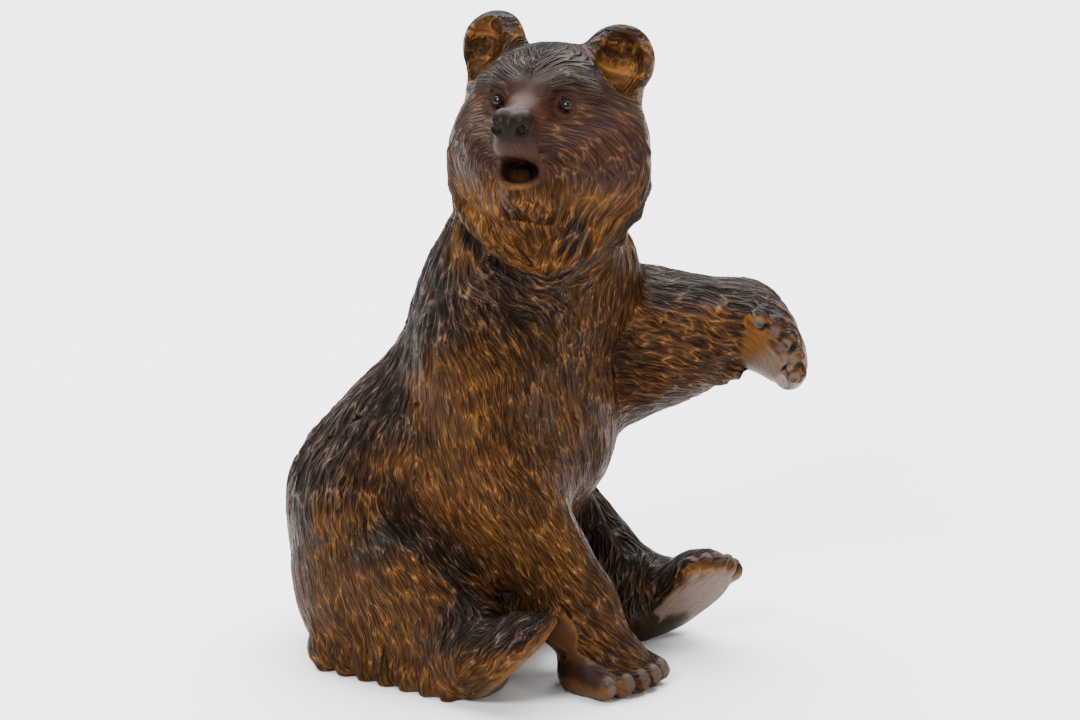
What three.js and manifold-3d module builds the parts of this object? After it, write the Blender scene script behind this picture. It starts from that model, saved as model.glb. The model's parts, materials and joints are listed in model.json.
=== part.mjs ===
// A carved wooden bear that sits upright, leans on its right forepaw, holds its left forepaw out in
// front with the wrist bent inward, and turns its head far to the right with the mouth a little open.
// The carving is one block of wood. Its two glass eyes are separate balls, set in drilled sockets.
//
// Frame: millimetres, +Z up, the bear's hips face -Y, and its own left side is +X.
// The figure is described as a field: how far a point lies outside the wood. Soft unions of bones
// and rounded masses make the field, knives cut hollows and flat faces into it, and the surface
// where it is zero becomes the mesh. Lengths in the figure are in parts of its height.
import * as THREE from "three";
import { mergeVertices } from "three/addons/utils/BufferGeometryUtils.js";
import { edgeTable, triTable } from "three/addons/objects/MarchingCubes.js";
import Module from "manifold-3d";

// Driving dimensions, in millimetres.
const HEIGHT = 201; // from the ground to the top of the ears
const EYE_DIAMETER = 4.8; // glass eye
const EYE_CLEARANCE = 0.3; // between the glass and the wood of its socket
const EYE_SHOWS = 0.42; // share of the eye's diameter that stands out of the face

// How finely the wood is meshed.
const BEAR_TRIANGLES = 9200;
const EYE_SEGMENTS = 12;

// The figure's own unit: it is drawn 201 parts tall.
const PARTS_TALL = 201;
const PART = HEIGHT / PARTS_TALL;

const RIGHT = -1;
const LEFT = 1;

// Frames

// A frame of its own for a head, foot or hand: first, second and third direction about an origin.
class Frame {
  constructor(origin, first, towardsThird) {
    this.origin = new THREE.Vector3(...origin);
    this.a = new THREE.Vector3(...first).normalize();
    this.b = new THREE.Vector3(...towardsThird).cross(this.a).normalize();
    this.c = this.a.clone().cross(this.b).normalize();
  }

  // The point that lies a, b and c parts along the three directions.
  at(a, b, c) {
    return this.origin
      .clone()
      .addScaledVector(this.a, a)
      .addScaledVector(this.b, b)
      .addScaledVector(this.c, c);
  }

  // The direction with those three components.
  towards(a, b, c) {
    return this.at(a, b, c).sub(this.origin).normalize();
  }
}

const BODY = new Frame([0, 0, 0], [1, 0, 0], [0, 0, 1]);

const point = (p) => (p.isVector3 ? p : new THREE.Vector3(...p));

// Fields: each is a function of x, y, z in parts, negative inside

// A tapered bone with round ends.
function bone(from, to, fromRadius, toRadius = fromRadius) {
  const a = point(from);
  const b = point(to);
  const [ux, uy, uz] = b.clone().sub(a).toArray();
  const length2 = ux * ux + uy * uy + uz * uz;
  const taper = fromRadius - toRadius;
  const slope2 = length2 - taper * taper;
  return (x, y, z) => {
    const px = x - a.x;
    const py = y - a.y;
    const pz = z - a.z;
    const along = px * ux + py * uy + pz * uz;
    const past = along - length2;
    const qx = px * length2 - ux * along;
    const qy = py * length2 - uy * along;
    const qz = pz * length2 - uz * along;
    const across2 = qx * qx + qy * qy + qz * qz;
    const along2 = along * along * length2;
    const past2 = past * past * length2;
    const k = Math.sign(taper) * taper * taper * across2;
    if (Math.sign(past) * slope2 * past2 > k)
      return Math.sqrt(across2 + past2) / length2 - toRadius;
    if (Math.sign(along) * slope2 * along2 < k)
      return Math.sqrt(across2 + along2) / length2 - fromRadius;
    return (Math.sqrt((across2 * slope2) / length2) + along * taper) / length2 - fromRadius;
  };
}

// An egg-shaped mass whose half-sizes lie along a frame's directions.
function mass(centre, radii, frame = BODY) {
  const c = point(centre);
  const { a, b, c: d } = frame;
  const [ra, rb, rc] = radii;
  const least = Math.min(ra, rb, rc);
  return (x, y, z) => {
    const px = x - c.x;
    const py = y - c.y;
    const pz = z - c.z;
    const u = (px * a.x + py * a.y + pz * a.z) / ra;
    const v = (px * b.x + py * b.y + pz * b.z) / rb;
    const w = (px * d.x + py * d.y + pz * d.z) / rc;
    const k0 = Math.sqrt(u * u + v * v + w * w);
    const k1 = Math.sqrt((u / ra) ** 2 + (v / rb) ** 2 + (w / rc) ** 2);
    return k1 < 1e-6 ? -least : (k0 * (k0 - 1)) / k1;
  };
}

// Everything on the far side of a flat cut.
function beyond(through, normal) {
  const n = point(normal).clone().normalize();
  const offset = n.dot(point(through));
  return (x, y, z) => x * n.x + y * n.y + z * n.z - offset;
}

function softMin(a, b, softness) {
  const h = Math.max(softness - Math.abs(a - b), 0) / softness;
  return Math.min(a, b) - (h * h * softness) / 4;
}

const softMax = (a, b, softness) => -softMin(-a, -b, softness);

// Forms that grow into each other. Each entry is [field, how softly it joins the ones before].
const joined = (entries) => (x, y, z) => {
  let d = 1e6;
  for (const [field, softness] of entries) d = softMin(d, field(x, y, z), softness);
  return d;
};

// A form with other forms taken out of it. Each cut is [field, how soft its edge is].
const carved = (form, cuts) => (x, y, z) => {
  let d = form(x, y, z);
  for (const [field, softness] of cuts) d = softMax(d, -field(x, y, z), softness);
  return d;
};

// A form that ends at a flat face.
const faced = (form, plane, softness) => (x, y, z) =>
  softMax(form(x, y, z), plane(x, y, z), softness);

// Torso

const torso = joined([
  [mass([0, 18, 24], [45, 40, 38]), 1],
  [mass([-1, 19, 44], [48, 42, 40]), 8],
  [mass([3, -1, 70], [40, 40, 33]), 14],
  [mass([1, -10, 99], [32, 30, 32]), 14],
  [mass([0, -15, 118], [28, 25, 24]), 12],
  [bone([0, -18, 120], [-2, -27, 146], 25, 26), 10],
  [mass([21, -27, 118], [16, 15, 20]), 8],
]);

// Hind legs

// The heel touches the ground at heelX to the side and heelY in front, and the sole rises from it
// at an angle in degrees.
function hindLeg(side, heelX, heelY, length, rise) {
  const angle = THREE.MathUtils.degToRad(rise);
  const lay = [side * 0.04, -Math.cos(angle), Math.sin(angle)];
  const foot = new Frame([side * heelX, heelY, 0], lay, [side * 0.3, 0.65, 0.71]);
  const thigh = joined([
    [mass([side * 27, 14, 26], [25, 33, 35]), 1],
    [mass([side * 30, -6, 10], [18, 26, 20]), 6],
    [bone([side * 32, -2, 34], [side * 37, heelY + 8, 17], 18, 11), 10],
    [bone([side * 36, heelY + 8, 10], foot.at(9, 0, 10), 13, 11), 8],
  ]);
  const sole = joined([
    [mass(foot.at(9, 0, 9), [11, 11, 10], foot), 1],
    [mass(foot.at(length - 16, 0, 5), [15, 12, 9.5], foot), 6],
    ...[-2, -1, 0, 1, 2].map((i) => [
      bone(foot.at(length - 13, i * 4, 5.5), foot.at(length - 3 - i * i * 0.7, i * 4.7, 4), 4, 3.5),
      1.2,
    ]),
  ]);
  const flat = beyond(foot.at(0, 0, 0), foot.c.clone().negate());
  return { thigh, foot: faced(sole, flat, 0.8) };
}

const rightLeg = hindLeg(RIGHT, 38, -30, 37.5, 41.8);
const leftLeg = hindLeg(LEFT, 40, -39, 37, 45.8);

// Forelegs

const PAW_TOES = 5;

const paw = new Frame([-7.5, -54, 0], [-0.1, -0.995, 0], [0, 0, 1]);

const rightForeleg = joined([
  [mass([-21, -18, 97], [16, 20, 27]), 1],
  [mass([-17, -10, 58], [22, 27, 36]), 10],
  [bone([-22, -17, 96], [-22, -26, 62], 17, 15), 8],
  [bone([-22, -26, 62], [-12, -46, 24], 15, 12), 8],
  [bone([-12, -46, 24], paw.at(0, 0, 10), 12, 10), 6],
  [mass(paw.at(0, 0, 5), [14, 15.5, 9.5], paw), 5],
  ...Array.from({ length: PAW_TOES }, (_, i) => {
    const across = i - 2;
    return [
      bone(paw.at(3, across * 5.4, 5), paw.at(13 - across * across * 0.7, across * 6, 4.5), 5, 3.9),
      1.2,
    ];
  }),
]);

// The hand's directions: out along the fingers, up across the palm, and out of the palm.
const hand = new Frame([50, -68, 94.7], [-0.578, -0.72, 0.382], [-0.801, 0.412, -0.436]);

const FINGERS = 5;

const leftForeleg = joined([
  [mass([27, -14, 105], [18, 20, 22]), 1],
  [bone([30, -16, 103], [43, -36, 97], 20, 18), 8],
  [bone([33, -23, 82.5], [47, -43, 90.5], 16.5, 13), 8],
  [bone([43, -36, 98], [57, -57, 101], 18, 14), 8],
  [mass(hand.at(-3, 1, -7.5), [14, 16.5, 9], hand), 6],
  ...Array.from({ length: FINGERS }, (_, i) => {
    const across = -2 + (i - 2) * 5;
    const arch = (i - 2) * (i - 2) * 0.9;
    return [
      bone(hand.at(0, across, arch - 9), hand.at(9, across, arch - 8), 4.8, 3.8),
      1.2,
    ];
  }),
]);

// Head

const head = new Frame([-2.7, -30, 165], [-0.935, -0.286, 0.208], [0.199, 0.061, 0.978]);

const SIDES = [RIGHT, LEFT];

// The muzzle is a wedge: a flat bridge on top, flat flanks and two full upper lips.
const muzzle = [
  beyond(head.at(28, -8.2, 0), head.towards(0.32, -1, 0.3)),
  beyond(head.at(28, 8.2, 0), head.towards(0.32, 1, 0.3)),
  beyond(head.at(31, 0, 11.6), head.towards(0.42, 0, 1)),
].reduce(
  (form, plane) => faced(form, plane, 4),
  joined([
    [bone(head.at(10, 0, 2.5), head.at(29, 0, 1.8), 13, 8.9), 1],
    ...SIDES.map((side) => [mass(head.at(28.5, side * 3.4, -1.6), [6.4, 5.4, 4.6], head), 2.5]),
  ]),
);

// The brow arches over each eye, from the bridge round to the cheek.
const brows = SIDES.flatMap((side) => [
  [bone(head.at(21, side * 4.5, 14), head.at(18, side * 10, 16.8), 3, 3.4), 3],
  [bone(head.at(18, side * 10, 16.8), head.at(14, side * 16, 14.5), 3.4, 3.3), 3],
  [bone(head.at(14, side * 16, 14.5), head.at(11, side * 20, 7.5), 3.3, 2.6), 3],
]);

const skull = joined([
  [mass(head.at(-3, 0, 5), [25, 26, 24], head), 1],
  [mass(head.at(8, 0, 12), [14, 18, 13], head), 8],
  ...SIDES.flatMap((side) => [
    [mass(head.at(2, side * 16.5, -6), [16, 14, 17], head), 10],
    [bone(head.at(-2, side * 18, -12), head.at(6, side * 7, -31), 11, 10), 6],
    [mass(head.at(12, side * 11, -5), [14, 10, 13], head), 8],
    [bone(head.at(8, side * 11, -14), head.at(20, side * 5.5, -18), 9, 6), 5],
  ]),
  [muzzle, 7],
  ...brows,
  ...SIDES.map((side) => [mass(head.at(34.8, side * 3, 3.4), [4.3, 3.7, 4.7], head), 1.5]),
  [bone(head.at(12, 0, -12), head.at(25.8, 0, -15.4), 11, 6), 4],
]);

// One ear, so far to the side and so far up.
function ear(side, across, up) {
  const frame = new Frame(
    head.at(-4, side * across, up),
    head.towards(0.93, side * 0.3, 0.15),
    head.towards(0, 0, 1),
  );
  return {
    shell: joined([
      [mass(frame.at(-1, 0, 0), [6, 11, 10.5], frame), 1],
      [bone(frame.at(-2, 0, -4), frame.at(-1, -side * 2, -14), 8, 8), 4],
    ]),
    cup: mass(frame.at(6.4, side * 0.3, -2.6), [7.2, 7.4, 10.4], frame),
  };
}

const ears = [ear(RIGHT, 22.3, 27.5), ear(LEFT, 18.2, 25.5)];

const eyeCentres = SIDES.map((side) => head.at(16, side * 10.6, 10));

const mouth = joined([
  [mass(head.at(33, 0, -9.8), [12, 6.6, 3.3], head), 1],
  ...SIDES.map((side) => [
    bone(head.at(30.5, side * 5, -9.4), head.at(23, side * 9, -11.2), 1.4, 0.7),
    1,
  ]),
]);

// Each eye lies in a hollow that runs out to a point below the end of its brow.
const eyeHollows = SIDES.flatMap((side) => [
  [mass(head.at(25.2, side * 10.8, 9.6), [6, 4.6, 4.4], head), 2],
  [bone(head.at(23.5, side * 13, 8.6), head.at(17.6, side * 18.4, 5), 2.6, 1.6), 2],
]);

const nostrils = SIDES.map((side) => [mass(head.at(38.6, side * 3.4, 1.6), [3, 1.6, 1.5], head), 0.6]);

const wholeHead = carved(joined([[skull, 1], ...ears.map(({ shell }) => [shell, 4])]), [
  ...ears.map(({ cup }) => [cup, 1]),
  ...eyeHollows,
  [mouth, 1],
  ...nostrils,
]);

// Locks of fur that stand out as tufts

const RUFF_TUFTS = 13;

// Tufts hang from the edge of the ruff, from one cheek round under the chin to the other.
const ruffTufts = Array.from({ length: RUFF_TUFTS }, (_, i) => {
  const turn = ((i / (RUFF_TUFTS - 1)) * 2 - 1) * 1.75;
  const [across, up] = [Math.sin(turn), -Math.cos(turn)];
  return [
    bone(
      head.at(4 + 3 * up, across * 25, 25 * up - 7),
      head.at(1 + 3 * up, across * 31, 33 * up - 8),
      5,
      1.4,
    ),
    2,
  ];
});

const ARM_TUFTS = 8;

// Tufts under the raised foreleg point out towards its wrist.
const armTufts = Array.from({ length: ARM_TUFTS }, (_, i) => {
  const root = new THREE.Vector3(30, -24, 75).lerp(point([50, -58, 88]), i / (ARM_TUFTS - 1));
  const tip = root.clone().add(point([2.6, -4.4, -2.4]));
  return [bone(root, tip, 4, 1.2), 1.5];
});

const HEM_TUFTS = 7;

// Tufts at the foot of each thigh reach the ground.
const hemTufts = SIDES.flatMap((side) =>
  Array.from({ length: HEM_TUFTS }, (_, i) => {
    const back = 26 - i * 8;
    return [bone([side * 44, back, 12], [side * 48, back - 3, 1.5], 5, 2.4), 2];
  }),
);

// Bones end to end through points that each give x, y, z and a radius.
function strand(path) {
  return joined(
    path.slice(1).map(([x, y, z, radius], i) => {
      const [px, py, pz, before] = path[i];
      return [bone([px, py, pz], [x, y, z], before, radius), 1];
    }),
  );
}

// The crease above a thigh, from the hip down to the ankle, cut by a blade of so many parts.
function thighCrease(side, blade) {
  return strand([
    [side * 45, 12, 67, 0.3 * blade],
    [side * 43.5, -2, 56, 0.9 * blade],
    [side * 40, -14, 46, blade],
    [side * 36.5, -25, 35, 0.9 * blade],
    [side * 34, -33, 28.5, 0.4 * blade],
  ]);
}

const creases = joined([
  [thighCrease(RIGHT, 3.6), 1],
  [thighCrease(LEFT, 2), 1],
]);

// The parting of the fur, from under the ruff down the chest and belly.
const parting = strand([
  [-12, -43.5, 124, 1.5],
  [-6, -43, 103, 1.5],
  [1, -43, 82, 1.5],
  [7, -41, 62, 1.5],
]);

const smoothFigure = faced(
  carved(
    joined([
      [torso, 1],
      [rightLeg.thigh, 3],
      [leftLeg.thigh, 3],
      [rightForeleg, 8],
      [leftForeleg, 5],
      [rightLeg.foot, 3],
      [leftLeg.foot, 3],
      [wholeHead, 4],
      ...ruffTufts,
      ...armTufts,
      ...hemTufts,
    ]),
    [
      [creases, 5],
      [parting, 3],
    ],
  ),
  beyond([0, 0, 0], [0, 0, -1]),
  0.6,
);

// Gouge cuts in the fur

const GOUGE_LENGTH = 13;
const GOUGE_WIDTH = 5.4;
const GOUGE_DEPTH = 1.5;
const GOUGE_SPACING = 8;
const GOUGE_DIG = 0.16; // slope at which the blade goes in, so that the lower end is deeper

// The direction out of the surface of a field.
function outward(field, p) {
  const step = 0.4;
  const slope = (dx, dy, dz) =>
    field(p.x + dx, p.y + dy, p.z + dz) - field(p.x - dx, p.y - dy, p.z - dz);
  return new THREE.Vector3(slope(step, 0, 0), slope(0, step, 0), slope(0, 0, step)).normalize();
}

// The first point from inside the wood, in a direction, where the field's surface is.
function surfaceFrom(field, inside, direction) {
  const p = inside.clone();
  const step = 0.7;
  while (field(p.x, p.y, p.z) < 0) p.addScaledVector(direction, step);
  return p.addScaledVector(direction, -step / 2);
}

// One cut of the gouge at a point of the surface, where the hairs lie along a direction.
function gougeCut(at, out, lay) {
  const along = lay.clone().addScaledVector(out, -lay.dot(out));
  if (along.length() < 0.3) return null;
  const blade = along.normalize().addScaledVector(out, -GOUGE_DIG).normalize();
  const frame = new Frame(at.toArray(), blade, out);
  const radii = [GOUGE_LENGTH / 2, GOUGE_WIDTH / 2, GOUGE_WIDTH / 2];
  const centre = at.clone().addScaledVector(out, GOUGE_WIDTH / 2 - GOUGE_DEPTH);
  return { centre, field: mass(centre, radii, frame) };
}

// The middle of the body at each height, from the seat to the crown: [height, x, y].
const SPINE = [
  [0, 0, 14],
  [55, 0, 14],
  [90, 1, -8],
  [120, 0, -17],
  [150, -2, -26],
  [182, -4, -28],
];

function spineAt(height) {
  const above = SPINE.findIndex(([z], i) => i > 0 && z >= height);
  const [[z0, x0, y0], [z1, x1, y1]] = [SPINE[above - 1], SPINE[above]];
  const share = (height - z0) / (z1 - z0);
  return new THREE.Vector3(x0 + (x1 - x0) * share, y0 + (y1 - y0) * share, height);
}

// Cuts in rows round the body, each row set half a step over. The face keeps clear of them.
function bodyCuts() {
  const cuts = [];
  let row = 0;
  for (let height = 9; height < 180; height += GOUGE_SPACING) {
    row += 1;
    const middle = spineAt(height);
    const count = height < 75 ? 34 : height < 130 ? 26 : 20;
    for (let i = 0; i < count; i++) {
      const turn = ((i + (row % 2) / 2) / count) * 2 * Math.PI;
      const direction = new THREE.Vector3(Math.cos(turn), Math.sin(turn), 0);
      const at = surfaceFrom(smoothFigure, middle, direction);
      const out = outward(smoothFigure, at);
      const fromHead = at.clone().sub(head.at(0, 0, 0));
      const faceSide = fromHead.dot(head.a);
      if (height > 140 && faceSide > 3) continue;
      if (height < 34 && at.y < -24) continue;
      if (creases(at.x, at.y, at.z) < 2) continue;
      const lay = height > 150 ? fromHead.sub(head.a.clone().multiplyScalar(30)) : point([0, 0, -1]);
      if (height < 60) lay.y -= Math.abs(at.x) > 20 ? 0.5 : 0;
      cuts.push(gougeCut(at, out, lay.normalize()));
    }
  }
  return cuts;
}

// Cuts in rows round the raised foreleg, along it.
function armCuts() {
  const [shoulder, wrist] = [point([31, -17, 103]), point([56, -57, 101])];
  const lay = wrist.clone().sub(shoulder).normalize();
  const frame = new Frame(shoulder.toArray(), lay.toArray(), [0, 0, 1]);
  const cuts = [];
  for (let row = 1; row < 6; row++)
    for (let i = 0; i < 12; i++) {
      const turn = ((i + (row % 2) / 2) / 12) * 2 * Math.PI;
      const direction = frame.towards(0, Math.cos(turn), Math.sin(turn));
      const middle = frame.at(row * 8, 0, 0);
      const at = surfaceFrom(smoothFigure, middle, direction);
      if (at.distanceTo(middle) > 30) continue;
      cuts.push(gougeCut(at, outward(smoothFigure, at), lay));
    }
  return cuts;
}

// Cuts sorted into cells, so that a point asks only the cuts near it.
class CutMap {
  constructor(cuts) {
    this.cell = GOUGE_LENGTH;
    this.cuts = new Map();
    for (const cut of cuts) {
      const at = cut.centre.clone().divideScalar(this.cell).round();
      for (let dx = -1; dx <= 1; dx++)
        for (let dy = -1; dy <= 1; dy++)
          for (let dz = -1; dz <= 1; dz++) {
            const key = this.key(at.x + dx, at.y + dy, at.z + dz);
            if (!this.cuts.has(key)) this.cuts.set(key, []);
            this.cuts.get(key).push(cut.field);
          }
    }
  }

  key(i, j, k) {
    return (i + 99) * 1e6 + (j + 99) * 1e3 + (k + 99);
  }

  near(x, y, z) {
    const place = [x, y, z].map((v) => Math.round(v / this.cell));
    return this.cuts.get(this.key(...place)) ?? [];
  }
}

const cutMap = new CutMap([...bodyCuts(), ...armCuts()].filter(Boolean));

function figure(x, y, z) {
  let d = smoothFigure(x, y, z);
  if (Math.abs(d) > GOUGE_WIDTH || z < 1) return d;
  for (const cut of cutMap.near(x, y, z)) d = softMax(d, -cut(x, y, z), 0.8);
  return d;
}

// Meshing

// The box that the field is sampled in, and the step, in parts. The odd fractions keep the flat
// cuts from falling on the grid.
const FIELD_LOW = [-62.03, -104.07, -4.11];
const FIELD_HIGH = [84, 72, 212];
const CELL = 2;

// Marching cubes over a box of parts, with the cell's size in parts.
function polygonise(field, low, high, cell) {
  const count = low.map((v, i) => Math.ceil((high[i] - v) / cell) + 1);
  const [nx, ny, nz] = count;
  const values = new Float64Array(nx * ny * nz);
  const index = (i, j, k) => i + nx * (j + ny * k);
  for (let k = 0; k < nz; k++)
    for (let j = 0; j < ny; j++)
      for (let i = 0; i < nx; i++)
        values[index(i, j, k)] = field(low[0] + i * cell, low[1] + j * cell, low[2] + k * cell);
  const corners = [
    [0, 0, 0],
    [1, 0, 0],
    [1, 1, 0],
    [0, 1, 0],
    [0, 0, 1],
    [1, 0, 1],
    [1, 1, 1],
    [0, 1, 1],
  ];
  const edges = [
    [0, 1],
    [1, 2],
    [2, 3],
    [3, 0],
    [4, 5],
    [5, 6],
    [6, 7],
    [7, 4],
    [0, 4],
    [1, 5],
    [2, 6],
    [3, 7],
  ];
  const positions = [];
  const triangles = [];
  const onEdge = new Map();
  const vertexOn = (i, j, k, edge) => {
    const [s, e] = edges[edge].map((c) => corners[c].map((o, axis) => o + [i, j, k][axis]));
    const [is, ie] = [index(...s), index(...e)];
    const key = Math.min(is, ie) * values.length + Math.max(is, ie);
    if (!onEdge.has(key)) {
      const share = THREE.MathUtils.clamp(values[is] / (values[is] - values[ie]), 0.06, 0.94);
      onEdge.set(key, positions.length / 3);
      for (let axis = 0; axis < 3; axis++)
        positions.push(low[axis] + (s[axis] + (e[axis] - s[axis]) * share) * cell);
    }
    return onEdge.get(key);
  };
  for (let k = 0; k < nz - 1; k++)
    for (let j = 0; j < ny - 1; j++)
      for (let i = 0; i < nx - 1; i++) {
        let mask = 0;
        corners.forEach(([di, dj, dk], c) => {
          if (values[index(i + di, j + dj, k + dk)] < 0) mask |= 1 << c;
        });
        if (edgeTable[mask] === 0) continue;
        for (let t = mask * 16; triTable[t] !== -1; t += 3)
          triangles.push(
            vertexOn(i, j, k, triTable[t]),
            vertexOn(i, j, k, triTable[t + 2]),
            vertexOn(i, j, k, triTable[t + 1]),
          );
      }
  return { positions, triangles };
}

// A heap of collapses, the cheapest on top.
class Heap {
  constructor() {
    this.items = [];
  }

  push(item) {
    const { items } = this;
    let i = items.push(item) - 1;
    while (i > 0) {
      const parent = (i - 1) >> 1;
      if (items[parent].cost <= item.cost) break;
      items[i] = items[parent];
      i = parent;
    }
    items[i] = item;
  }

  pop() {
    const { items } = this;
    const top = items[0];
    const last = items.pop();
    if (items.length === 0) return top;
    let i = 0;
    for (;;) {
      let child = 2 * i + 1;
      if (child >= items.length) break;
      if (child + 1 < items.length && items[child + 1].cost < items[child].cost) child += 1;
      if (items[child].cost >= last.cost) break;
      items[i] = items[child];
      i = child;
    }
    items[i] = last;
    return top;
  }
}

// The mesh with its edges collapsed one by one, the ones that move its surface least first.
// Each vertex keeps the planes of its faces as a quadric of ten numbers, and an edge shrinks to
// the point that lies nearest to the planes of both its ends.
function simplified({ positions, triangles }, target) {
  const faces = [];
  for (let t = 0; t < triangles.length; t += 3) faces.push(triangles.slice(t, t + 3));
  const points = [];
  for (let v = 0; v < positions.length; v += 3) points.push(new THREE.Vector3(...positions.slice(v, v + 3)));
  const quadrics = points.map(() => new Float64Array(10));
  const around = points.map(() => new Set());
  const stamp = new Uint32Array(points.length);
  const ab = new THREE.Vector3();
  const ac = new THREE.Vector3();
  const normalOf = (a, b, c) => ab.subVectors(b, a).cross(ac.subVectors(c, a));

  faces.forEach((face, f) => {
    const [a, b, c] = face.map((v) => points[v]);
    const normal = normalOf(a, b, c);
    const area = normal.length() / 2;
    if (area > 0) normal.divideScalar(2 * area);
    const { x, y, z } = normal;
    const w = -normal.dot(a);
    const plane = [x * x, x * y, x * z, x * w, y * y, y * z, y * w, z * z, z * w, w * w];
    for (const v of face) {
      around[v].add(f);
      plane.forEach((value, i) => {
        quadrics[v][i] += value * area;
      });
    }
  });

  const sumOf = (u, v) => quadrics[u].map((value, i) => value + quadrics[v][i]);
  const costAt = (q, { x, y, z }) =>
    q[0] * x * x + 2 * q[1] * x * y + 2 * q[2] * x * z + 2 * q[3] * x +
    q[4] * y * y + 2 * q[5] * y * z + 2 * q[6] * y + q[7] * z * z + 2 * q[8] * z + q[9];

  // The point where the quadric is least, held a little to the middle of the edge.
  const bestPoint = (q, u, v) => {
    const middle = points[u].clone().add(points[v]).multiplyScalar(0.5);
    const hold = 0.004 * (q[0] + q[4] + q[7]) + 1e-9;
    const matrix = new THREE.Matrix3().set(
      q[0] + hold, q[1], q[2],
      q[1], q[4] + hold, q[5],
      q[2], q[5], q[7] + hold,
    );
    const right = middle.clone().multiplyScalar(hold).sub(new THREE.Vector3(q[3], q[6], q[8]));
    const best = right.applyMatrix3(matrix.invert());
    const far = best.distanceTo(middle) > points[u].distanceTo(points[v]);
    return far || !Number.isFinite(best.x) ? middle : best;
  };

  const heap = new Heap();
  const offer = (u, v) => {
    const q = sumOf(u, v);
    const to = bestPoint(q, u, v);
    const cost = costAt(q, to) + 1e-5 * points[u].distanceToSquared(points[v]);
    heap.push({ u, v, to, q, cost, stamps: stamp[u] + stamp[v] });
  };
  const neighbours = (v) => {
    const found = new Set();
    for (const f of around[v]) for (const w of faces[f]) if (w !== v) found.add(w);
    return found;
  };

  // Whether a face round the moving vertex would turn over or fold into a sliver.
  const turnsOver = (moving, other, to) => {
    for (const f of around[moving]) {
      if (faces[f].includes(other)) continue;
      const corners = faces[f].map((v) => points[v]);
      const before = normalOf(...corners).clone();
      const after = normalOf(...faces[f].map((v) => (v === moving ? to : points[v])));
      if (before.dot(after) <= 0.25 * before.length() * after.length()) return true;
      const longest = Math.max(
        ...faces[f].map((v) => (v === moving ? 0 : to.distanceToSquared(points[v]))),
      );
      if (after.length() < 0.06 * longest) return true;
    }
    return false;
  };

  points.forEach((_, u) => {
    for (const v of neighbours(u)) if (u < v) offer(u, v);
  });
  let left = faces.length;
  while (left > target && heap.items.length > 0) {
    const { u, v, to, q, stamps } = heap.pop();
    if (around[u].size === 0 || around[v].size === 0 || stamps !== stamp[u] + stamp[v]) continue;
    const shared = [...around[u]].filter((f) => around[v].has(f));
    const ofU = neighbours(u);
    const common = [...neighbours(v)].filter((w) => ofU.has(w));
    if (shared.length !== 2 || common.length !== 2) continue;
    if (turnsOver(u, v, to) || turnsOver(v, u, to)) continue;
    for (const f of shared) for (const w of faces[f]) around[w].delete(f);
    for (const f of around[v]) {
      faces[f] = faces[f].map((w) => (w === v ? u : w));
      around[u].add(f);
    }
    around[v].clear();
    points[u] = to;
    quadrics[u] = q;
    stamp[u] += 1;
    stamp[v] += 1;
    left -= 2;
    for (const f of shared) faces[f] = null;
    for (const w of neighbours(u)) offer(u, w);
  }
  return { points, faces: faces.filter(Boolean) };
}

// Solids

const wasm = await Module();
wasm.setup();

// A solid of the joining library, from the corners and faces of a closed mesh.
function solidFrom(vertices, faceCorners) {
  return new wasm.Manifold(
    new wasm.Mesh({
      numProp: 3,
      vertProperties: new Float32Array(vertices),
      triVerts: new Uint32Array(faceCorners),
    }),
  );
}

// A ball of a diameter round a centre, both in millimetres.
function ballGeometry(diameter, centre) {
  const ball = new THREE.SphereGeometry(diameter / 2, EYE_SEGMENTS, Math.round(EYE_SEGMENTS * 0.7));
  ball.deleteAttribute("normal");
  ball.deleteAttribute("uv");
  ball.translate(...centre.toArray());
  return mergeVertices(ball, 1e-3);
}

function geometryOf(solid) {
  const { vertProperties, triVerts } = solid.getMesh();
  const geometry = new THREE.BufferGeometry();
  geometry.setAttribute("position", new THREE.BufferAttribute(vertProperties, 3));
  geometry.setIndex(new THREE.BufferAttribute(triVerts, 1));
  return geometry;
}

// Corners that lie within a height of the ground, or below it, are set on it. The underside is
// flat before its edges are collapsed and after.
function standing(corners, within) {
  return corners.map((value, i) => (i % 3 === 2 && value < within ? 0 : value));
}

// The carving with a socket drilled round each eye.
function carvedBear(eyes) {
  const fine = polygonise(figure, FIELD_LOW, FIELD_HIGH, CELL);
  fine.positions = standing(fine.positions, 0.4);
  const wood = simplified(fine, BEAR_TRIANGLES);
  const corners = wood.points.flatMap((p) => p.clone().multiplyScalar(PART).toArray());
  let solid = solidFrom(standing(corners, 0.15), wood.faces.flat());
  for (const centre of eyes) {
    const socket = ballGeometry(EYE_DIAMETER + 2 * EYE_CLEARANCE, centre);
    solid = solid.subtract(solidFrom(socket.attributes.position.array, socket.index.array));
  }
  return geometryOf(solid);
}

// Each eye lies in the face so deep that only its share stands out.
const eyePlaces = eyeCentres.map((centre) => {
  const at = surfaceFrom(smoothFigure, centre, head.a);
  return at.addScaledVector(head.a, ((0.5 - EYE_SHOWS) * -EYE_DIAMETER) / PART).multiplyScalar(PART);
});

const darkWood = new THREE.MeshStandardMaterial({ color: 0x4a2e1c, roughness: 0.42, metalness: 0 });
const blackGlass = new THREE.MeshStandardMaterial({ color: 0x0c0b0a, roughness: 0.08, metalness: 0 });

const bear = new THREE.Mesh(carvedBear(eyePlaces), darkWood);
bear.name = "bear";

const eyes = ["right_eye", "left_eye"].map((name, i) => {
  const eye = new THREE.Mesh(ballGeometry(EYE_DIAMETER, new THREE.Vector3()), blackGlass);
  eye.name = name;
  eye.position.copy(eyePlaces[i]);
  return eye;
});

const group = new THREE.Group();
group.add(bear, ...eyes);

export default group;
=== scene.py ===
import json
import math

import bpy
import numpy as np
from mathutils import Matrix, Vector, kdtree

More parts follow.
